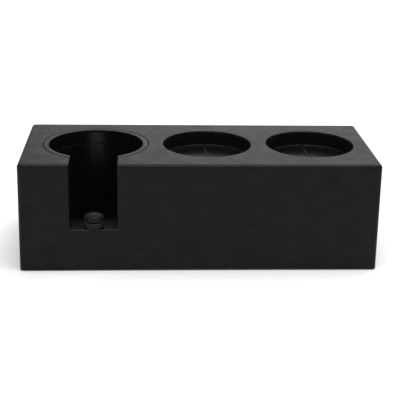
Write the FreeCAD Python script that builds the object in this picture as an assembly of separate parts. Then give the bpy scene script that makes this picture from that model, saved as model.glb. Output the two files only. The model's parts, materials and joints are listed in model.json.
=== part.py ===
"""Three-position espresso tamping station: a moulded stand for a portafilter, a tamper and a distributor.

Millimetres. +X runs along the length, +Z is up and the front is at -Y.
The origin is on the worktop, under the middle of the base.
"""

import FreeCAD, Part
import math
import os

Vector = FreeCAD.Vector
UP = Vector(0, 0, 1)

# Overall size, feet included
LENGTH = 250.0
DEPTH = 102.0
HEIGHT = 77.4

# Moulded housing
STAND = 0.6  # how far the feet hold the skirt off the worktop
DRAFT = math.tan(math.radians(0.67))
WALL = 3.0
TOP_PLATE = 3.5
CORNER_R = 3.0
TOP_EDGE_R = 2.4
SKIRT_RELIEF = 0.7  # how far the long skirts bow up between the feet
CAVITY_CORNER_R = 1.0
RIB_WIDTH = 2.0

# For cutting and for finding edges
PAST = 1.0  # how far a cutter runs past the face it opens
NEAR = 1e-3  # how close counts as being on a plane, an axis or a radius

# Portafilter bay on the left, open towards the front
BAY_X = -73.4
BAY_R = 33.6
BAY_FLOOR_Z = 9.0
CUP_FLOOR = 3.0
RING_R = 37.4
RING_HEIGHT = 10.5
RING_GAP = 0.4
RING_EDGE_R = 0.5
SEAT_EDGE_R = 0.35  # where the ring meets the bay's wall below it
RING_Z = HEIGHT - RING_HEIGHT

# Slot for the portafilter handle
SLOT_HALF = 16.4
SLOT_FLOOR_Z = 30.6
SLOT_FLOOR_THICK = 4.0
SLOT_EDGE_R = 0.8
SLOT_LIP_R = 1.5
SLOT_END_Y = -25.5  # inside the bay, which the slot runs into

# Tool wells in the middle and on the right
WELL_X = (6.4, 81.0)
WELL_R = 31.7
WELL_DEPTH = 11.0
WELL_RIM_R = 0.7
WELL_FOOT_R = 1.0
WELL_FLOOR_Z = HEIGHT - WELL_DEPTH
WELL_RIB_WIDTH = 1.6
WELL_RIB_HEIGHT = 0.8
WELL_RIB_EDGE_R = 0.5
WELL_RIB_ROOT = 0.5  # how deep the rib is rooted in the floor
WELL_RIB_END_GAP = 0.2

# Height adjuster under the handle
ADJUSTER_Y = -44.3
ADJUSTER_R = 6.65
GRIP_Z = SLOT_FLOOR_Z + 0.1
GRIP_TOP_Z = 35.0
GRIP_SPIGOT_R = 4.4
GRIP_SPIGOT_TOP_Z = 35.75
GRIP_FLUTES = 20
GRIP_FLUTE_R = 0.75
GRIP_FLUTE_OUT = 0.15  # how far outside the collar each flute's axis is
GRIP_CHAMFER = 0.4
PAD_Z = 35.9
PAD_BEAD_TOP_Z = 36.65
PAD_BAND_TOP_Z = 38.75
PAD_TOP_Z = 40.6
PAD_R = 6.45
PAD_EDGE_R = 1.2
PAD_FOOT_CHAMFER = 0.25
PAD_LIP = 0.8  # the lip that snaps in under the screw's button
SCREW_R = 3.0
SCREW_LENGTH = 22.0
SCREW_TIP_CHAMFER = 0.8
NECK_R = 2.0
BUTTON_R = 2.8
BUTTON_CHAMFER = 0.7
SWIVEL_GAP = 0.3
SOCKET_TOP_Z = PAD_BAND_TOP_Z + 0.3
INSERT_R = 4.2
INSERT_LENGTH = 10.0
INSERT_GROOVE = 0.6  # how deep, and half how wide, the groove between its two bands is
INSERT_LEAD_IN = 0.4
INSERT_BOSS_R = 7.2
RUN_GAP = 0.05
FIT_GAP = 0.02  # between pieces that are fixed together

# Base plate, its screws and the feet
PLATE_Z = 2.0
PLATE_THICK = 3.0
PLATE_GAP = 0.3
PLATE_CORNER_R = 1.5
HOLE_GAP = 0.2  # round the feet and screws where they pass the plate
RECESS_DEPTH = 1.2
RECESS_Z = PLATE_Z + RECESS_DEPTH
PLATE_TOP_Z = PLATE_Z + PLATE_THICK
FOOT_R = 7.0
FOOT_X = 112.0
FOOT_Y = 39.0
FOOT_EDGE_R = 0.6
FOOT_GROOVE_R = (4.0, 5.0)
FOOT_GROOVE_DEPTH = 0.4
SCREW_BOSS_R = 4.0
BASE_SCREW_X = (-98.0, 0.0, 98.0)
BASE_SCREW_Y = 42.0
BASE_SCREW_R = 1.5
BASE_SCREW_HEAD_R = 2.75
BASE_SCREW_HEAD = 1.7
BASE_SCREW_HEAD_CHAMFER = 0.7
BASE_SCREW_TIP_Z = 15.0
BASE_SCREW_POINT = 2.0
PILOT_TOP_Z = 17.0
CROSS_REACH = 1.6  # the cross recess in each screw's head
CROSS_HALF_WIDTH = 0.4
CROSS_DEPTH = 1.0


def cylinder(radius, low, high, x=0.0, y=0.0):
    return Part.makeCylinder(radius, high - low, Vector(x, y, low), UP)


def block(low, high):
    size = Vector(*high) - Vector(*low)
    return Part.makeBox(size.x, size.y, size.z, Vector(*low))


def fused(first, *others):
    return first.fuse(list(others)).removeSplitter()


def rounded_rectangle(half_x, half_y, radius, z):
    """A closed wire of four sides and four quarter arcs."""
    edges = []
    quarter = radius * (1 - math.sqrt(0.5))
    corners = [(half_x, half_y), (-half_x, half_y), (-half_x, -half_y), (half_x, -half_y)]
    for i, (x, y) in enumerate(corners):
        nx, ny = corners[(i + 1) % 4]
        sx, sy = math.copysign(1, x), math.copysign(1, y)
        nsx, nsy = math.copysign(1, nx), math.copysign(1, ny)
        along_x = Vector(x - sx * radius, y, z)
        along_y = Vector(x, y - sy * radius, z)
        middle = Vector(x - sx * quarter, y - sy * quarter, z)
        start, end = (along_y, along_x) if i % 2 == 0 else (along_x, along_y)
        edges.append(Part.Arc(start, middle, end).toShape())
        if i % 2 == 0:
            edges.append(Part.LineSegment(end, Vector(nx - nsx * radius, ny, z)).toShape())
        else:
            edges.append(Part.LineSegment(end, Vector(nx, ny - nsy * radius, z)).toShape())
    return Part.Wire(edges)


def drafted_block(inset, low, high, radius):
    """The housing's tapering block, inset from its outside, between two heights."""
    near = inset + DRAFT * (low - STAND)
    far = inset + DRAFT * (high - STAND)
    x, y = LENGTH / 2, DEPTH / 2
    # a wedge tapers along its own Y, so it is made lying down and then stood up
    wedge = Part.makeWedge(
        near - x, low, near - y, far - y, far - x, x - near, high, y - near, y - far, x - far
    )
    wedge.rotate(Vector(0, 0, 0), Vector(1, 0, 0), 90)
    upright = [e for e in wedge.Edges if abs(e.Vertexes[0].Point.z - e.Vertexes[1].Point.z) > NEAR]
    return wedge.makeFillet(radius, upright)


def front_y(z):
    """Where the front face is at a height."""
    return -DEPTH / 2 + DRAFT * (z - STAND)


def edges_at(shape, wanted):
    """The shape's edges whose every vertex and middle pass the test."""
    found = []
    for edge in shape.Edges:
        middle = edge.valueAt((edge.FirstParameter + edge.LastParameter) / 2)
        if all(wanted(p) for p in [v.Point for v in edge.Vertexes] + [middle]):
            found.append(edge)
    return found


def circle_edges(shape, radius, x, z):
    """The circular edges of a radius round a well's axis at a height."""
    found = []
    for edge in [e for e in shape.Edges if not e.Degenerated]:
        curve = edge.Curve
        if isinstance(curve, Part.Circle) and abs(curve.Radius - radius) < NEAR:
            if abs(curve.Center.x - x) < NEAR and abs(curve.Center.z - z) < NEAR:
                found.append(edge)
    return found


def revolved(points, x=0.0, y=0.0):
    """A solid of revolution about a vertical axis, from (radius, z) points."""
    outline = Part.makePolygon([Vector(r, 0, z) for r, z in points + points[:1]])
    solid = Part.Face(outline).revolve(Vector(0, 0, 0), UP, 360)
    solid.translate(Vector(x, y, 0))
    return solid


def outer_block():
    """The housing's outside, with its top edges rounded and its long skirts bowed up."""
    solid = drafted_block(0.0, STAND, HEIGHT, CORNER_R)
    top = edges_at(solid, lambda p: abs(p.z - HEIGHT) < NEAR)
    solid = solid.makeFillet(TOP_EDGE_R, top)
    low = STAND - PAST
    half = LENGTH / 2 - CORNER_R
    start = Vector(-half, -DEPTH, STAND)
    end = Vector(half, -DEPTH, STAND)
    bow = Part.Arc(start, Vector(0, -DEPTH, STAND + SKIRT_RELIEF), end).toShape()
    below = Part.makePolygon([end, Vector(half, -DEPTH, low), Vector(-half, -DEPTH, low), start])
    relief = Part.Face(Part.Wire([bow] + below.Edges)).extrude(Vector(0, 2 * DEPTH, 0))
    return solid.cut(relief)


def wall_rib(x, y):
    """A rib from a screw boss to the wall behind it."""
    half = RIB_WIDTH / 2
    ends = sorted((y, math.copysign(DEPTH / 2 - WALL / 2, y)))
    return block((x - half, ends[0], PLATE_TOP_Z), (x + half, ends[1], HEIGHT - TOP_PLATE))


def screw_places():
    return [(x, side * BASE_SCREW_Y) for x in BASE_SCREW_X for side in (-1, 1)]


def foot_places():
    places = {}
    for y_name, y in (("front", -FOOT_Y), ("back", FOOT_Y)):
        for x_name, x in (("left", -FOOT_X), ("right", FOOT_X)):
            places[f"{y_name}_{x_name}"] = (x, y)
    return places


def inner_structure():
    """The cups, channel walls, bosses and ribs moulded inside the shell, up into its top."""
    under_top = HEIGHT - TOP_PLATE + PAST
    pieces = [
        cylinder(BAY_R + WALL, BAY_FLOOR_Z - CUP_FLOOR, under_top, BAY_X),
        cylinder(RING_R + RING_GAP + WALL, RING_Z - WALL, under_top, BAY_X),
        block(
            (BAY_X - SLOT_HALF - WALL, -DEPTH / 2 + WALL / 2, SLOT_FLOOR_Z - SLOT_FLOOR_THICK),
            (BAY_X + SLOT_HALF + WALL, 0, under_top),
        ),
        cylinder(INSERT_BOSS_R, SLOT_FLOOR_Z - INSERT_LENGTH - PAST, SLOT_FLOOR_Z, BAY_X, ADJUSTER_Y),
    ]
    for x in WELL_X:
        pieces.append(cylinder(WELL_R + WALL, WELL_FLOOR_Z - WALL, under_top, x))
    for x, y in screw_places():
        pieces.append(cylinder(SCREW_BOSS_R, PLATE_TOP_Z, under_top, x, y))
        pieces.append(wall_rib(x, y))
    return pieces


def with_slot(solid):
    """Cuts the handle slot and rounds its edges along the top and down the front."""
    low, high = BAY_X - SLOT_HALF, BAY_X + SLOT_HALF
    solid = solid.cut(block((low, -DEPTH, SLOT_FLOOR_Z), (high, SLOT_END_Y, HEIGHT + PAST)))
    mouth = []
    for x in (low, high):
        for edge in edges_at(solid, lambda p: abs(p.x - x) < NEAR):
            along_top = all(abs(v.Point.z - HEIGHT) < NEAR for v in edge.Vertexes)
            on_front = all(v.Point.y < front_y(HEIGHT) + TOP_EDGE_R + NEAR for v in edge.Vertexes)
            if along_top or on_front:
                mouth.append(edge)
    solid = solid.makeFillet(SLOT_EDGE_R, mouth)
    return solid.cut(slot_lip_cutter())


def slot_lip_cutter():
    """Rounds the front edge of the slot's floor."""
    y = front_y(SLOT_FLOOR_Z)
    low, high = BAY_X - SLOT_HALF, BAY_X + SLOT_HALF
    corner = block(
        (low, y - PAST, SLOT_FLOOR_Z - SLOT_LIP_R), (high, y + SLOT_LIP_R, SLOT_FLOOR_Z + PAST)
    )
    centre = Vector(low, y + SLOT_LIP_R, SLOT_FLOOR_Z - SLOT_LIP_R)
    return corner.cut(Part.makeCylinder(SLOT_LIP_R, high - low, centre, Vector(1, 0, 0)))


def with_bay(solid):
    """Bores the portafilter bay and the shallow seat of its ring."""
    solid = solid.cut(cylinder(BAY_R, BAY_FLOOR_Z, HEIGHT + PAST, BAY_X))
    solid = solid.cut(cylinder(RING_R + RING_GAP, RING_Z, HEIGHT + PAST, BAY_X))
    solid = solid.makeFillet(RING_EDGE_R, circle_edges(solid, RING_R + RING_GAP, BAY_X, HEIGHT))
    return solid.makeFillet(SEAT_EDGE_R, circle_edges(solid, BAY_R, BAY_X, RING_Z))


def with_well(solid, x):
    """Sinks a tool well with a rounded rim and foot, and a low rib across its floor."""
    solid = solid.cut(cylinder(WELL_R, WELL_FLOOR_Z, HEIGHT + PAST, x))
    solid = solid.makeFillet(WELL_RIM_R, circle_edges(solid, WELL_R, x, HEIGHT))
    solid = solid.makeFillet(WELL_FOOT_R, circle_edges(solid, WELL_R, x, WELL_FLOOR_Z))
    half = WELL_RIB_WIDTH / 2
    reach = WELL_R - WELL_RIB_END_GAP
    low, high = WELL_FLOOR_Z - WELL_RIB_ROOT, WELL_FLOOR_Z + WELL_RIB_HEIGHT
    rib = block((x - half, -reach, low), (x + half, reach, high))
    top_edges = edges_at(rib, lambda p: abs(p.z - high) < NEAR and abs(abs(p.x - x) - half) < NEAR)
    return solid.fuse(rib.makeFillet(WELL_RIB_EDGE_R, top_edges))


def housing():
    """The one-piece moulded shell, open underneath."""
    body = with_bay(with_slot(outer_block()))
    for x in WELL_X:
        body = with_well(body, x)
    cavity = drafted_block(WALL, STAND - PAST, HEIGHT - TOP_PLATE, CAVITY_CORNER_R)
    first, *others = inner_structure()
    body = body.cut(cavity.cut(fused(first, *others)))
    body = body.cut(cylinder(INSERT_R + FIT_GAP, 0, SLOT_FLOOR_Z + PAST, BAY_X, ADJUSTER_Y))
    for x, y in screw_places():
        body = body.cut(cylinder(BASE_SCREW_R + FIT_GAP, 0, PILOT_TOP_Z, x, y))
    return body.removeSplitter()


def portafilter_ring():
    """The loose C-shaped ring that seats the portafilter, open where the slot is."""
    ring = cylinder(RING_R, RING_Z, HEIGHT, BAY_X).cut(cylinder(BAY_R, RING_Z, HEIGHT, BAY_X))
    low, high = RING_Z - PAST, HEIGHT + PAST
    slot = block((BAY_X - SLOT_HALF, -DEPTH, low), (BAY_X + SLOT_HALF, SLOT_END_Y, high))
    ring = ring.cut(slot)
    ring = ring.makeFillet(RING_EDGE_R, edges_at(ring, lambda p: p.z > HEIGHT - NEAR))
    return ring.makeFillet(SEAT_EDGE_R, edges_at(ring, lambda p: p.z < RING_Z + NEAR))


def adjuster_grip():
    """The fluted collar moulded round the screw, turned with the fingers."""
    bore = SCREW_R + FIT_GAP
    grip = revolved(
        [
            (bore, GRIP_Z),
            (ADJUSTER_R - GRIP_CHAMFER, GRIP_Z),
            (ADJUSTER_R, GRIP_Z + GRIP_CHAMFER),
            (ADJUSTER_R, GRIP_TOP_Z - GRIP_CHAMFER),
            (ADJUSTER_R - GRIP_CHAMFER, GRIP_TOP_Z),
            (GRIP_SPIGOT_R, GRIP_TOP_Z),
            (GRIP_SPIGOT_R, GRIP_SPIGOT_TOP_Z),
            (bore, GRIP_SPIGOT_TOP_Z),
        ]
    )
    flutes = []
    for i in range(GRIP_FLUTES):
        angle = 2 * math.pi * i / GRIP_FLUTES
        x = (ADJUSTER_R + GRIP_FLUTE_OUT) * math.cos(angle)
        y = (ADJUSTER_R + GRIP_FLUTE_OUT) * math.sin(angle)
        flutes.append(cylinder(GRIP_FLUTE_R, GRIP_Z - PAST, GRIP_TOP_Z + PAST, x, y))
    grip = grip.cut(flutes)
    grip.translate(Vector(BAY_X, ADJUSTER_Y, 0))
    return grip


def pad_dome():
    """The arc of the pad's domed top, from its shoulder to its apex."""
    rise = PAD_TOP_Z - PAD_BAND_TOP_Z
    dome_r = (PAD_R**2 + rise**2) / (2 * rise)
    half_angle = math.asin(PAD_R / dome_r) / 2
    between_z = PAD_TOP_Z - dome_r * (1 - math.cos(half_angle))
    shoulder = Vector(PAD_R, 0, PAD_BAND_TOP_Z)
    between = Vector(dome_r * math.sin(half_angle), 0, between_z)
    return Part.Arc(shoulder, between, Vector(0, 0, PAD_TOP_Z)).toShape()


def adjuster_pad():
    """The soft domed pad that the handle rests on. It snaps over the screw's button and swivels."""
    side = Part.makePolygon(
        [
            Vector(0, 0, PAD_TOP_Z),
            Vector(0, 0, PAD_Z),
            Vector(ADJUSTER_R - PAD_FOOT_CHAMFER, 0, PAD_Z),
            Vector(ADJUSTER_R, 0, PAD_Z + PAD_FOOT_CHAMFER),
            Vector(ADJUSTER_R, 0, PAD_BEAD_TOP_Z - (ADJUSTER_R - PAD_R)),
            Vector(PAD_R, 0, PAD_BEAD_TOP_Z),
            Vector(PAD_R, 0, PAD_BAND_TOP_Z),
        ]
    )
    pad = Part.Face(Part.Wire([pad_dome()] + side.Edges)).revolve(Vector(0, 0, 0), UP, 360)
    pad = pad.makeFillet(PAD_EDGE_R, circle_edges(pad, PAD_R, 0, PAD_BAND_TOP_Z))
    pad = pad.cut(cylinder(NECK_R + SWIVEL_GAP, PAD_Z - PAST, PAD_Z + PAD_LIP))
    pad = pad.cut(cylinder(BUTTON_R + SWIVEL_GAP, PAD_Z + PAD_LIP, SOCKET_TOP_Z))
    pad.translate(Vector(BAY_X, ADJUSTER_Y, 0))
    return pad


def adjuster_screw():
    """The stud, its thread drawn as a plain shank, with a neck and a button for the pad."""
    tip_z = GRIP_Z - SCREW_LENGTH
    button_z = PAD_Z + PAD_LIP + SWIVEL_GAP
    button_top_z = SOCKET_TOP_Z - SWIVEL_GAP
    return revolved(
        [
            (0, tip_z),
            (SCREW_R - SCREW_TIP_CHAMFER, tip_z),
            (SCREW_R, tip_z + SCREW_TIP_CHAMFER),
            (SCREW_R, GRIP_TOP_Z),
            (NECK_R, GRIP_TOP_Z),
            (NECK_R, button_z),
            (BUTTON_R, button_z),
            (BUTTON_R, button_top_z - BUTTON_CHAMFER),
            (BUTTON_R - BUTTON_CHAMFER, button_top_z),
            (0, button_top_z),
        ],
        BAY_X,
        ADJUSTER_Y,
    )


def threaded_insert():
    """The brass nut set into the slot's floor, with two gripping bands."""
    low = SLOT_FLOOR_Z - INSERT_LENGTH
    middle = (low + SLOT_FLOOR_Z) / 2
    waist = INSERT_R - INSERT_GROOVE
    bore = SCREW_R + RUN_GAP
    return revolved(
        [
            (bore, low),
            (waist, low),
            (INSERT_R, low + INSERT_GROOVE),
            (INSERT_R, middle - 2 * INSERT_GROOVE),
            (waist, middle - INSERT_GROOVE),
            (waist, middle + INSERT_GROOVE),
            (INSERT_R, middle + 2 * INSERT_GROOVE),
            (INSERT_R, SLOT_FLOOR_Z),
            (bore + INSERT_LEAD_IN, SLOT_FLOOR_Z),
            (bore, SLOT_FLOOR_Z - INSERT_LEAD_IN),
        ],
        BAY_X,
        ADJUSTER_Y,
    )


def base_plate():
    """The plate screwed up inside the skirt, with recesses for the screw heads and feet."""
    inset = WALL + PLATE_GAP + DRAFT * (PLATE_TOP_Z - STAND)
    half_x, half_y = LENGTH / 2 - inset, DEPTH / 2 - inset
    outline = rounded_rectangle(half_x, half_y, PLATE_CORNER_R, PLATE_Z)
    plate = Part.Face(outline).extrude(Vector(0, 0, PLATE_THICK))
    for x, y in foot_places().values():
        plate = plate.cut(cylinder(FOOT_R + HOLE_GAP, PLATE_Z - PAST, RECESS_Z, x, y))
    for x, y in screw_places():
        plate = plate.cut(cylinder(BASE_SCREW_R + HOLE_GAP, PLATE_Z, PLATE_TOP_Z + PAST, x, y))
        plate = plate.cut(cylinder(BASE_SCREW_HEAD_R + HOLE_GAP, PLATE_Z - PAST, RECESS_Z, x, y))
    return plate


def base_screw(x, y):
    """A self-tapping screw with a cross recess in its head."""
    head_z = RECESS_Z - BASE_SCREW_HEAD
    screw = revolved(
        [
            (0, head_z),
            (BASE_SCREW_HEAD_R - BASE_SCREW_HEAD_CHAMFER, head_z),
            (BASE_SCREW_HEAD_R, head_z + BASE_SCREW_HEAD_CHAMFER),
            (BASE_SCREW_HEAD_R, RECESS_Z),
            (BASE_SCREW_R, RECESS_Z),
            (BASE_SCREW_R, BASE_SCREW_TIP_Z - BASE_SCREW_POINT),
            (0, BASE_SCREW_TIP_Z),
        ],
        x,
        y,
    )
    low, high = head_z - PAST, head_z + CROSS_DEPTH
    for half_x, half_y in ((CROSS_REACH, CROSS_HALF_WIDTH), (CROSS_HALF_WIDTH, CROSS_REACH)):
        screw = screw.cut(block((x - half_x, y - half_y, low), (x + half_x, y + half_y, high)))
    return screw


def base_screws():
    """Six screws, driven up through the plate into the housing's bosses."""
    return Part.makeCompound([base_screw(x, y) for x, y in screw_places()])


def foot(x, y):
    """A soft round foot set into its recess, with a shallow groove round its sole."""
    sole = cylinder(FOOT_R, 0, RECESS_Z, x, y)
    sole = sole.makeFillet(FOOT_EDGE_R, edges_at(sole, lambda p: abs(p.z) < NEAR))
    inner, outer = FOOT_GROOVE_R
    groove = cylinder(outer, -PAST, FOOT_GROOVE_DEPTH, x, y)
    return sole.cut(groove.cut(cylinder(inner, -PAST, FOOT_GROOVE_DEPTH, x, y)))


def main():
    os.makedirs("parts", exist_ok=True)
    nodes = {
        "housing": housing(),
        "portafilter_ring": portafilter_ring(),
        "adjuster_grip": adjuster_grip(),
        "adjuster_pad": adjuster_pad(),
        "adjuster_screw": adjuster_screw(),
        "threaded_insert": threaded_insert(),
        "base_plate": base_plate(),
        "base_screws": base_screws(),
    }
    for name, (x, y) in foot_places().items():
        nodes[f"foot_{name}"] = foot(x, y)
    for name, shape in nodes.items():
        shape.exportStep(f"parts/{name}.step")
        volume = round(shape.Volume / 1000, 2)
        print(name, "solids", len(shape.Solids), "valid", shape.isValid(), "cm3", volume)


main()
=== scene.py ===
"""The looks of the tamping station: materials, the adjuster's thread, the studio and the camera.

Metres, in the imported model's frame: +X along the length, the front at -Y, +Z up, the worktop at 0.
"""

import json
import math

import bmesh
import bpy
from mathutils import Matrix, Vector


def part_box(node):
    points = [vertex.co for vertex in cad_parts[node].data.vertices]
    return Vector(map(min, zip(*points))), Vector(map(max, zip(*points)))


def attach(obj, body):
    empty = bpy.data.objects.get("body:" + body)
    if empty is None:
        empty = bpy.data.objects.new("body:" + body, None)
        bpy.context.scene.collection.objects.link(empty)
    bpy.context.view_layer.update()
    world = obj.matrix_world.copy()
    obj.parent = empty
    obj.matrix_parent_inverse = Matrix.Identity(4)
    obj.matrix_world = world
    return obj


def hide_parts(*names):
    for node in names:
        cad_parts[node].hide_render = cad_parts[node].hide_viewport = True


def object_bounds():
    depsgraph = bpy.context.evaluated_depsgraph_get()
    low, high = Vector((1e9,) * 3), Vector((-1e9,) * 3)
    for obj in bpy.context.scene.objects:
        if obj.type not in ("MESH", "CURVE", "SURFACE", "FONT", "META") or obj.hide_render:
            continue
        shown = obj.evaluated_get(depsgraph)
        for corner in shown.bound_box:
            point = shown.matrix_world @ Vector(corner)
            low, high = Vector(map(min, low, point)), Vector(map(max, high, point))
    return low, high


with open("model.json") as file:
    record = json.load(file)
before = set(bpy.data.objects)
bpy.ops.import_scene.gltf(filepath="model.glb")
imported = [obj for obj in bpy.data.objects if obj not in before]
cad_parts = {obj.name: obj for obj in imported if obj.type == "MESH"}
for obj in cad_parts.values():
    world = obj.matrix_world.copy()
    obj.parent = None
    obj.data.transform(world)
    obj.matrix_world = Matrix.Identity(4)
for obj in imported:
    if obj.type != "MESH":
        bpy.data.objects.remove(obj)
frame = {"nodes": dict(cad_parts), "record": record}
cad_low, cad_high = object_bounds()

MM = 0.001

WELLS = [mount for mount in frame["record"]["mounts"] if mount["name"].endswith("tool_well")]
WELL_DEPTH = 11 * MM

# How far under the outer faces the finish of the bay starts, and where it is whole
SKIN = (1.0 * MM, 2.2 * MM)

# How far past the ring's right edge the bay's finish fades out
BAY_FADE = 2 * MM

# The finish of a well's floor starts, and is whole, where the depth under the outer faces is short of
# WELL_DEPTH by these margins, and it holds within this reach and fade of the floor's own height
FLOOR_MARGINS = (2 * MM, 1 * MM)
FLOOR_REACH = 0.1 * MM
FLOOR_FADE = 0.15 * MM

# The painted highlight on each well's rib, a pale stripe of colour standing in for light on it: half its
# width, how soft its edges are, how deep the rib's top lies, and how far back from the front rim the
# painted highlight reaches
RIB_HALF = 0.45 * MM
RIB_FADE = 0.15 * MM
RIB_TOP_DEPTH = 10.2 * MM
RIB_HIGHLIGHT_LENGTH = 18 * MM

# The stretches of a noise's values that are spread over a material's whole range
NOISE_RANGE = (0.3, 0.7)
BLOOM_RANGE = (0.35, 0.7)

# With n the upright part of a face's normal, n * (1 - n) where an edge starts and where it is whole
EDGE_SLOPES = (0.06, 0.2)

# Moulded plastic. A tone runs from 0, the dark colour, through the light one, to 1, the pale grey of the
# painted highlight on the wells' ribs
ABS_SPECULAR = 0.16
CLOUD_SIZE = 9 * MM
CLOUD_TONE = 0.32
CLOUD_DULLNESS = 0.04
RUBBED_PATCH_SIZE = 6 * MM
RUBBED_TONE = 0.2
# Painted light: the least tone of the bay's inner walls, a lighter colour standing in for light falling on
# them
BAY_WALL_PAINTED_LIGHT = 0.3
# The painted highlight on the wells' ribs: its pale grey, and the tone at which the light colour gives way
# to it
PAINTED_HIGHLIGHT_GREY = 0.06
PAINTED_HIGHLIGHT_FROM = 0.7

# How much smoother than the outer faces the rubbed edges, the bay and the wells' floors are
RUBBED_SMOOTHER = 0.12
BAY_SMOOTHER = 0.25
WELL_FLOOR_SMOOTHER = 0.26

# The moulded grain: the sizes of its layers, and the share of it that the bay and the wells' floors lack
COARSE_GRAIN_SIZE = 2.6 * MM
FINE_GRAIN_SIZE = 0.9 * MM
PEBBLE_SIZE = 0.42 * MM
GRAIN_LOST_INSIDE = 0.85

# The other materials: their shine, the sizes of their patches and marks, and the depths of their bumps
NYLON_SPECULAR = 0.22
NYLON_ROUGHNESS = (0.34, 0.46)
NYLON_CLOUD_SIZE = 3 * MM
NYLON_GRAIN_SIZE = 0.35 * MM
RUBBER_DULLNESS = (-0.05, 0.06)
RUBBER_BLOOM_SIZE = 2.4 * MM
RUBBER_GRAIN_SIZE = 0.3 * MM
SOFT_BUMP_DEPTH = 0.02 * MM
METAL_MARK_SIZE = 0.12 * MM
METAL_STAIN_SIZE = 4 * MM
METAL_BUMP_DEPTH = 0.01 * MM
METAL_DULLNESS = 0.08

# Camera: almost straight on to the front and from above, with a slight roll
CAMERA_YAW = math.radians(3.362)
CAMERA_PITCH = math.radians(20.337)
CAMERA_ROLL = math.radians(1.178)
CAMERA_DISTANCE = 0.713
CAMERA_LENS = 87.12
AIM_FROM_MIDDLE = Vector((2.17, -1.6, -4.36)) * MM

# Studio
FLOOR_HALF = 12.0
FLOOR_COLOUR = (0.93, 0.93, 0.925)
FLOOR_FIBRE_SHADE = 0.985
FLOOR_FIBRE_SIZE = 60 * MM
SKY_COLOUR = (1.0, 1.0, 1.0, 1.0)
SKY_STRENGTH = 0.5

# Softboxes: name, place, what it is aimed at, its two sides, and its power in watts
SOFTBOXES = [
    ("top_softbox", (0.1, -0.2, 1.6), (0, 0, 0), (1.6, 1.2), 26.0),
    ("back_softbox", (0.45, 1.4, 0.75), (0.05, 0, 0.05), (1.7, 1.1), 7.7),
]

# The screw's thread
THREAD_PITCH = 1.0 * MM
THREAD_DEPTH = 0.54 * MM
THREAD_ROOT_SHARE = 0.2
THREAD_FLANK_SHARE = 0.6
THREAD_ANGLES = 40
THREAD_ROWS_PER_TURN = 10

# The screw's plain stretches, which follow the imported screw's own shape
SCREW_TIP_CHAMFER = 0.8 * MM
NECK_R = 2.0 * MM
BUTTON_R = 2.8 * MM
BUTTON_CHAMFER = 0.7 * MM
BUTTON_HEIGHT = 1.75 * MM
NECK_LENGTH = 2.0 * MM


# ---------------------------------------------------------------- materials


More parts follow.
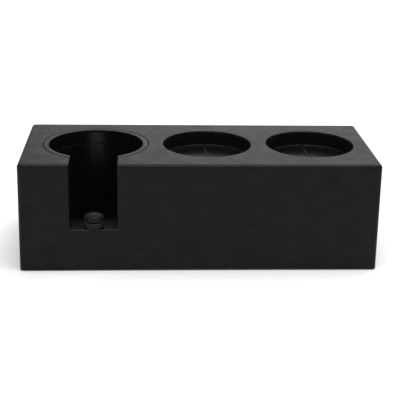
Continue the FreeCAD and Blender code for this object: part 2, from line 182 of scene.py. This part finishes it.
class Finish:
    """A procedural material under construction: a principled shader and the nodes that feed it."""

    def __init__(self, name):
        self.material = bpy.data.materials.new(name)
        self.material.use_nodes = True
        self.tree = self.material.node_tree
        self.shader = self.tree.nodes["Principled BSDF"]
        self.place = self.tree.nodes.new("ShaderNodeTexCoord").outputs["Object"]

    def node(self, kind, **settings):
        node = self.tree.nodes.new(kind)
        for key, value in settings.items():
            setattr(node, key, value)
        return node

    def link(self, output, socket):
        self.tree.links.new(output, socket)

    def feed(self, value, socket):
        """Links an output to a socket, or sets the socket to a number."""
        if isinstance(value, bpy.types.NodeSocket):
            self.link(value, socket)
        else:
            socket.default_value = value

    def plain(self, **values):
        for key, value in values.items():
            self.shader.inputs[key.replace("_", " ")].default_value = value

    def stretched(self, scale):
        """The place on the object with each axis scaled, for brushed and turned finishes."""
        mapping = self.node("ShaderNodeMapping")
        self.link(self.place, mapping.inputs["Vector"])
        mapping.inputs["Scale"].default_value = scale
        return mapping.outputs["Vector"]

    def noise(self, size, detail=2.0, roughness=0.5, place=None):
        """Noise from 0 to 1 whose features are about size metres across."""
        noise = self.node("ShaderNodeTexNoise")
        self.link(place or self.place, noise.inputs["Vector"])
        noise.inputs["Scale"].default_value = 1.0 / size
        noise.inputs["Detail"].default_value = detail
        noise.inputs["Roughness"].default_value = roughness
        return noise.outputs["Fac"]

    def pebbles(self, size):
        """Rounded cells about size metres across, the pattern of a spark-eroded mould."""
        cells = self.node("ShaderNodeTexVoronoi", feature="SMOOTH_F1")
        self.link(self.place, cells.inputs["Vector"])
        cells.inputs["Scale"].default_value = 1.0 / size
        cells.inputs["Smoothness"].default_value = 0.6
        return cells.outputs["Distance"]

    def math(self, operation, first, second, clamp=False):
        node = self.node("ShaderNodeMath", operation=operation, use_clamp=clamp)
        self.feed(first, node.inputs[0])
        self.feed(second, node.inputs[1])
        return node.outputs[0]

    def absolute(self, value):
        return self.math("ABSOLUTE", value, 0.0)

    def ranged(self, value, from_low, from_high, to_low, to_high):
        """A value carried from one range to another, and held at the ends of the second."""
        node = self.node("ShaderNodeMapRange")
        self.link(value, node.inputs["Value"])
        for key, number in (
            ("From Min", from_low),
            ("From Max", from_high),
            ("To Min", to_low),
            ("To Max", to_high),
        ):
            node.inputs[key].default_value = number
        return node.outputs["Result"]

    def coloured(self, value, dark, light, highlight_colour=None):
        """A colour by a value: dark at 0 and light at 1, or with a painted highlight colour, light at the
        highlight's starting tone and the highlight at 1.
        """
        ramp = self.node("ShaderNodeValToRGB")
        self.link(value, ramp.inputs["Fac"])
        elements = ramp.color_ramp.elements
        elements[0].color = (*dark, 1.0)
        elements[1].color = (*(highlight_colour or light), 1.0)
        if highlight_colour:
            elements.new(PAINTED_HIGHLIGHT_FROM).color = (*light, 1.0)
        return ramp.outputs["Color"]

    def level(self):
        """1 on level faces, whether they face up or down, and 0 on walls."""
        geometry = self.node("ShaderNodeNewGeometry")
        parts = self.node("ShaderNodeSeparateXYZ")
        self.link(geometry.outputs["Normal"], parts.inputs[0])
        return self.absolute(parts.outputs["Z"])

    def edges(self):
        """Near 1 where the surface turns over a horizontal edge, and 0 on flat faces and walls."""
        level = self.level()
        slope = self.math("MULTIPLY", level, self.math("SUBTRACT", 1.0, level))
        return self.ranged(slope, *EDGE_SLOPES, 0.0, 1.0)

    def axes(self):
        """The place on the object as its x, y and z."""
        place = self.node("ShaderNodeSeparateXYZ")
        self.link(self.place, place.inputs[0])
        return tuple(place.outputs[axis] for axis in "XYZ")

    def near(self, value, centre, reach, fade):
        """1 where a value is within reach of a centre, and fading to 0 beyond."""
        away = self.absolute(self.math("SUBTRACT", value, centre))
        return self.ranged(away, reach, reach + fade, 1.0, 0.0)

    def inside(self):
        """Two masks: 1 in the bay and its slot, and 1 on the floors of the wells, each 0 elsewhere."""
        x, y, z = self.axes()
        end = self.math("SUBTRACT", cad_high.x, self.absolute(x))
        side = self.math("SUBTRACT", cad_high.y, self.absolute(y))
        under = self.math("SUBTRACT", cad_high.z, z)
        above_base = self.math("SUBTRACT", z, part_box("base_plate")[1].z)
        depth = end
        for distance in (side, under, above_base):
            depth = self.math("MINIMUM", depth, distance)
        bay_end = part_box("portafilter_ring")[1].x
        in_bay = self.ranged(x, bay_end, bay_end + BAY_FADE, 1.0, 0.0)
        bay = self.math("MULTIPLY", self.ranged(depth, *SKIN, 0.0, 1.0), in_bay)
        starts, whole = (WELL_DEPTH - margin for margin in FLOOR_MARGINS)
        middle = self.ranged(depth, starts, whole, 0.0, 1.0)
        floor = self.math("MULTIPLY", middle, self.near(under, WELL_DEPTH, FLOOR_REACH, FLOOR_FADE))
        return bay, self.math("SUBTRACT", floor, in_bay, clamp=True)

    def rib_painted_highlight(self):
        """A painted highlight: up to 1 along the tops of the wells' ribs, most at the front rim and none at
        the back.
        """
        x, y, z = self.axes()
        wear = 0.0
        for well in WELLS:
            wear = self.math("ADD", wear, self.near(x, well["pos_m"][0], RIB_HALF, RIB_FADE))
        height = self.near(z, cad_high.z - RIB_TOP_DEPTH, RIB_HALF, RIB_FADE)
        # Both wells have one radius and lie on the middle line
        front_rim = -WELLS[0]["dims"]["r_mm"] * MM
        forward = self.near(y, front_rim, 0.0, RIB_HIGHLIGHT_LENGTH)
        return self.math("MULTIPLY", self.math("MULTIPLY", wear, height), forward)

    def bump(self, *layers):
        """Stacks bumps, each a height from 0 to 1, its depth in metres and its strength."""
        below = None
        for height, depth, strength in layers:
            bump = self.node("ShaderNodeBump")
            bump.inputs["Distance"].default_value = depth
            bump.inputs["Strength"].default_value = strength
            self.link(height, bump.inputs["Height"])
            if below is not None:
                self.link(below, bump.inputs["Normal"])
            below = bump.outputs["Normal"]
        self.link(below, self.shader.inputs["Normal"])


def grey(value):
    return (value,) * 3


def moulded_abs(name, dark, light, roughness, grain_depth):
    """Matte moulded plastic: grained and cloudy outside, smoother in the bay, its edges rubbed, its bay
    walls lightened by painted light and its ribs by a painted highlight.
    """
    finish = Finish(name)
    finish.plain(Specular_IOR_Level=ABS_SPECULAR)
    clouds = finish.noise(CLOUD_SIZE, detail=5.0, roughness=0.62)
    bay, well_floor = finish.inside()
    smooth = finish.math("MULTIPLY", finish.math("ADD", bay, well_floor), GRAIN_LOST_INSIDE)
    grained = finish.math("SUBTRACT", 1.0, smooth)
    rubbed = finish.math("MULTIPLY", finish.edges(), finish.noise(RUBBED_PATCH_SIZE, detail=3.0))
    rubbed = finish.math("SUBTRACT", rubbed, bay, clamp=True)

    cloudy = finish.ranged(clouds, *NOISE_RANGE, 0.0, CLOUD_TONE)
    # Painted light: the bay's walls are coloured lighter than the rest, standing in for light falling on
    # them
    painted_wall_light = finish.math("SUBTRACT", bay, finish.level(), clamp=True)
    tone = finish.math("ADD", cloudy, finish.math("MULTIPLY", rubbed, RUBBED_TONE))
    tone = finish.math("MAXIMUM", tone, finish.math("MULTIPLY", painted_wall_light, BAY_WALL_PAINTED_LIGHT))
    # Painted highlight: a pale stripe along the tops of the wells' ribs, brightest at the front rim
    tone = finish.math("ADD", tone, finish.rib_painted_highlight(), clamp=True)
    colour = finish.coloured(tone, dark, light, highlight_colour=grey(PAINTED_HIGHLIGHT_GREY))
    finish.link(colour, finish.shader.inputs["Base Color"])

    dull = finish.ranged(clouds, *NOISE_RANGE, roughness + CLOUD_DULLNESS, roughness - CLOUD_DULLNESS)
    smoother = ((rubbed, RUBBED_SMOOTHER), (bay, BAY_SMOOTHER), (well_floor, WELL_FLOOR_SMOOTHER))
    for mask, share in smoother:
        dull = finish.math("SUBTRACT", dull, finish.math("MULTIPLY", mask, share))
    finish.link(dull, finish.shader.inputs["Roughness"])

    coarse = finish.noise(COARSE_GRAIN_SIZE, detail=2.0)
    fine = finish.noise(FINE_GRAIN_SIZE, detail=3.0, roughness=0.6)
    pebbles = finish.pebbles(PEBBLE_SIZE)
    # Each layer's height, its depth as a multiple of the grain's, and its strength
    layers = ((coarse, 4.0, 1.0), (fine, 1.6, 1.0), (pebbles, 0.5, 0.7))
    finish.bump(
        *(
            (finish.math("MULTIPLY", height, grained), grain_depth * depth, strength)
            for height, depth, strength in layers
        )
    )
    return finish.material


def satin_nylon(name):
    """The harder, slightly shinier plastic of the collar."""
    finish = Finish(name)
    finish.plain(Specular_IOR_Level=NYLON_SPECULAR)
    clouds = finish.noise(NYLON_CLOUD_SIZE, detail=3.0)
    colour = finish.coloured(clouds, grey(0.004), grey(0.009))
    finish.link(colour, finish.shader.inputs["Base Color"])
    dull = finish.ranged(clouds, *NOISE_RANGE, *NYLON_ROUGHNESS)
    finish.link(dull, finish.shader.inputs["Roughness"])
    finish.bump((finish.noise(NYLON_GRAIN_SIZE, detail=3.0), SOFT_BUMP_DEPTH, 0.5))
    return finish.material


def soft_rubber(name, dark, light, roughness, specular):
    """Rubber with a powdery bloom, and a faint sheen at a low angle."""
    finish = Finish(name)
    finish.plain(Specular_IOR_Level=specular, Sheen_Weight=0.05, Sheen_Roughness=0.5)
    bloom = finish.noise(RUBBER_BLOOM_SIZE, detail=4.0, roughness=0.6)
    colour = finish.coloured(finish.ranged(bloom, *BLOOM_RANGE, 0.0, 1.0), dark, light)
    finish.link(colour, finish.shader.inputs["Base Color"])
    dull = finish.ranged(bloom, *NOISE_RANGE, *(roughness + change for change in RUBBER_DULLNESS))
    finish.link(dull, finish.shader.inputs["Roughness"])
    finish.bump((finish.noise(RUBBER_GRAIN_SIZE, detail=3.0), SOFT_BUMP_DEPTH, 0.5))
    return finish.material


def metal(name, dark, light, roughness, grain):
    """Turned or plated metal, with fine marks that run round it."""
    finish = Finish(name)
    finish.plain(Metallic=1.0)
    marks = finish.noise(METAL_MARK_SIZE, detail=3.0, place=finish.stretched(grain))
    stain = finish.noise(METAL_STAIN_SIZE, detail=3.0)
    tone = finish.math("ADD", finish.math("MULTIPLY", marks, 0.5), finish.math("MULTIPLY", stain, 0.5))
    finish.link(finish.coloured(tone, dark, light), finish.shader.inputs["Base Color"])
    dull = finish.ranged(tone, *NOISE_RANGE, roughness + METAL_DULLNESS, roughness - METAL_DULLNESS)
    finish.link(dull, finish.shader.inputs["Roughness"])
    finish.bump((marks, METAL_BUMP_DEPTH, 0.4))
    return finish.material


def make_materials():
    return {
        "housing_abs": moulded_abs("housing_abs", grey(0.0018), grey(0.009), 0.5, 0.06 * MM),
        "ring_abs": moulded_abs("ring_abs", grey(0.0018), grey(0.009), 0.48, 0.05 * MM),
        "base_abs": moulded_abs("base_abs", grey(0.004), grey(0.009), 0.56, 0.03 * MM),
        "grip_nylon": satin_nylon("grip_nylon"),
        "pad_rubber": soft_rubber("pad_rubber", grey(0.003), grey(0.007), 0.38, 0.11),
        "foot_rubber": soft_rubber("foot_rubber", grey(0.006), grey(0.014), 0.62, 0.3),
        "screw_steel": metal("screw_steel", (0.36, 0.36, 0.37), (0.62, 0.62, 0.61), 0.34, (1, 1, 6)),
        "fastener_steel": metal("fastener_steel", (0.3, 0.3, 0.31), (0.58, 0.58, 0.57), 0.38, (1, 1, 6)),
        "insert_brass": metal("insert_brass", (0.44, 0.28, 0.09), (0.74, 0.55, 0.25), 0.3, (1, 1, 8)),
    }


def paint_nodes(materials):
    """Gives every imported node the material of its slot."""
    slots = {part["node"]: part["material_slot"] for part in frame["record"]["subparts"]}
    for name, piece in frame["nodes"].items():
        piece.data.materials.clear()
        piece.data.materials.append(materials[slots[name]])


# ---------------------------------------------------------------- the screw


def screw_profile(low, high, radius):
    """(z, radius, threaded) rows of the screw, from its tip to the top of its button."""
    shank_top = high - BUTTON_HEIGHT - NECK_LENGTH
    rows = []
    count = round((shank_top - low) / THREAD_PITCH * THREAD_ROWS_PER_TURN)
    for i in range(count + 1):
        z = low + (shank_top - low) * i / count
        rows.append((z, min(radius, radius - SCREW_TIP_CHAMFER + z - low), True))
    button = high - BUTTON_HEIGHT
    rows.append((shank_top, NECK_R, False))
    rows.append((button, NECK_R, False))
    rows.append((button, BUTTON_R, False))
    rows.append((high - BUTTON_CHAMFER, BUTTON_R, False))
    rows.append((high, BUTTON_R - BUTTON_CHAMFER, False))
    return rows


def thread_cut(z, angle):
    """How deep the right-hand thread's groove is at a height and an angle."""
    turn = (z / THREAD_PITCH - angle / (2 * math.pi)) % 1.0
    crest = 1.0 - abs(2.0 * turn - 1.0)
    rise = (crest - THREAD_ROOT_SHARE) / THREAD_FLANK_SHARE
    return THREAD_DEPTH * (1.0 - min(1.0, max(0.0, rise)))


def threaded_screw():
    """The adjuster's stud with its thread as real geometry."""
    low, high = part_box("adjuster_screw")
    x, y = (low.x + high.x) / 2, (low.y + high.y) / 2
    radius = (high.x - low.x) / 2
    mesh = bmesh.new()
    rings = []
    for z, outer, threaded in screw_profile(low.z, high.z, radius):
        ring = []
        for i in range(THREAD_ANGLES):
            angle = 2 * math.pi * i / THREAD_ANGLES
            r = min(outer, radius - thread_cut(z, angle)) if threaded else outer
            ring.append(mesh.verts.new((x + r * math.cos(angle), y + r * math.sin(angle), z)))
        rings.append(ring)
    for lower, upper in zip(rings, rings[1:]):
        for i in range(THREAD_ANGLES):
            j = (i + 1) % THREAD_ANGLES
            mesh.faces.new((lower[i], lower[j], upper[j], upper[i]))
    mesh.faces.new(reversed(rings[0]))
    mesh.faces.new(rings[-1])
    data = bpy.data.meshes.new("threaded_screw")
    mesh.to_mesh(data)
    mesh.free()
    piece = bpy.data.objects.new("threaded_screw", data)
    bpy.context.scene.collection.objects.link(piece)
    return piece


# ---------------------------------------------------------------- studio


def make_floor():
    finish = Finish("floor_paper")
    finish.plain(Specular_IOR_Level=0.1, Roughness=0.9)
    fibres = finish.noise(FLOOR_FIBRE_SIZE, detail=4.0)
    low = tuple(channel * FLOOR_FIBRE_SHADE for channel in FLOOR_COLOUR)
    finish.link(finish.coloured(fibres, low, FLOOR_COLOUR), finish.shader.inputs["Base Color"])
    corners = [(-1, -1), (1, -1), (1, 1), (-1, 1)]
    data = bpy.data.meshes.new("floor")
    data.from_pydata([(a * FLOOR_HALF, b * FLOOR_HALF, 0.0) for a, b in corners], [], [(0, 1, 2, 3)])
    data.materials.append(finish.material)
    floor = bpy.data.objects.new("floor", data)
    bpy.context.scene.collection.objects.link(floor)


def make_sky():
    world = bpy.data.worlds.new("studio")
    world.use_nodes = True
    sky = world.node_tree.nodes["Background"]
    sky.inputs["Color"].default_value = SKY_COLOUR
    sky.inputs["Strength"].default_value = SKY_STRENGTH
    bpy.context.scene.world = world


def softbox(name, place, aim, size, power):
    light = bpy.data.lights.new(name, "AREA")
    light.shape = "RECTANGLE"
    light.size, light.size_y = size
    light.energy = power
    lamp = bpy.data.objects.new(name, light)
    lamp.location = place
    lamp.rotation_euler = (Vector(aim) - Vector(place)).to_track_quat("-Z", "Y").to_euler()
    lamp.visible_camera = False
    bpy.context.scene.collection.objects.link(lamp)


def make_camera():
    """Aims the camera near the middle of the object from its yaw, pitch and roll."""
    yaw, pitch, roll = CAMERA_YAW, CAMERA_PITCH, CAMERA_ROLL
    ahead = Vector(
        (math.sin(yaw) * math.cos(pitch), math.cos(yaw) * math.cos(pitch), -math.sin(pitch))
    )
    level = Vector((math.cos(yaw), -math.sin(yaw), 0.0))
    upright = level.cross(ahead)
    right = level * math.cos(roll) + upright * math.sin(roll)
    up = upright * math.cos(roll) - level * math.sin(roll)
    aim = (Vector(cad_low) + Vector(cad_high)) / 2 + AIM_FROM_MIDDLE
    camera = bpy.data.objects.new("camera", bpy.data.cameras.new("camera"))
    camera.data.lens = CAMERA_LENS
    turned = Matrix((right, up, -ahead)).transposed().to_4x4()
    camera.matrix_world = Matrix.Translation(aim - ahead * CAMERA_DISTANCE) @ turned
    bpy.context.scene.collection.objects.link(camera)
    bpy.context.scene.camera = camera


# ---------------------------------------------------------------- the scene

materials = make_materials()
paint_nodes(materials)

screw = threaded_screw()
screw.data.materials.append(materials["screw_steel"])
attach(screw, "screw")
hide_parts("adjuster_screw")

make_floor()
make_sky()
for box in SOFTBOXES:
    softbox(*box)
make_camera()
bpy.context.scene.view_settings.view_transform = "Standard"
